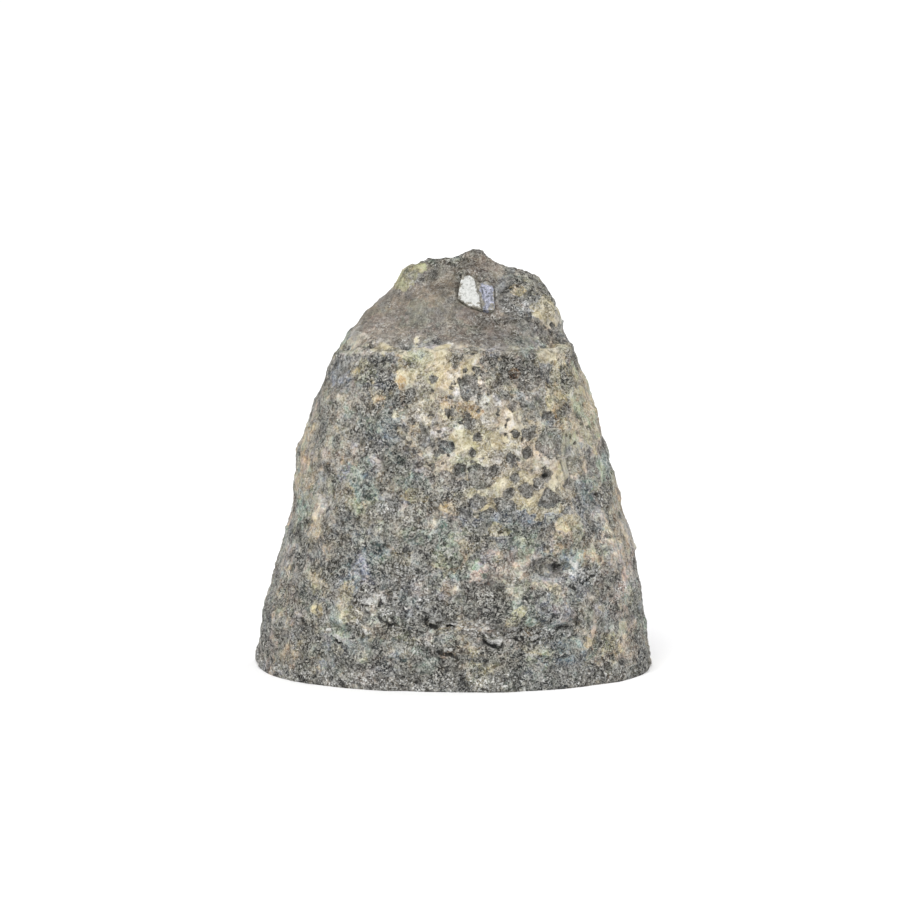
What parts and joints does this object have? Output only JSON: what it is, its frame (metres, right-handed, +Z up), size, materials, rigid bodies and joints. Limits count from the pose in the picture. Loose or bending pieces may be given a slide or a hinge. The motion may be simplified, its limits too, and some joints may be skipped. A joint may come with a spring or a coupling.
{
  "type": "amethyst geode",
  "caption": "Bell-shaped basalt geode sawn flat underneath, rough and pitted outside, with an open hollow lined with amethyst points.",
  "frame": {"origin": "middle of the sawn base's bounding box, on the base plane", "axes": "+Z up, the rough outer side faces -Y, and the hollow with its crystals opens towards +Y"},
  "size_m": [0.1972, 0.0982, 0.2081],
  "materials": {
    "basalt": "matte",
    "amethyst": "gloss",
    "quartz": "satin"
  },
  "bodies": {
    "root": {"rock_rind": "basalt", "amethyst_crust": "amethyst", "quartz_window": "quartz"}
  },
  "joints": []
}
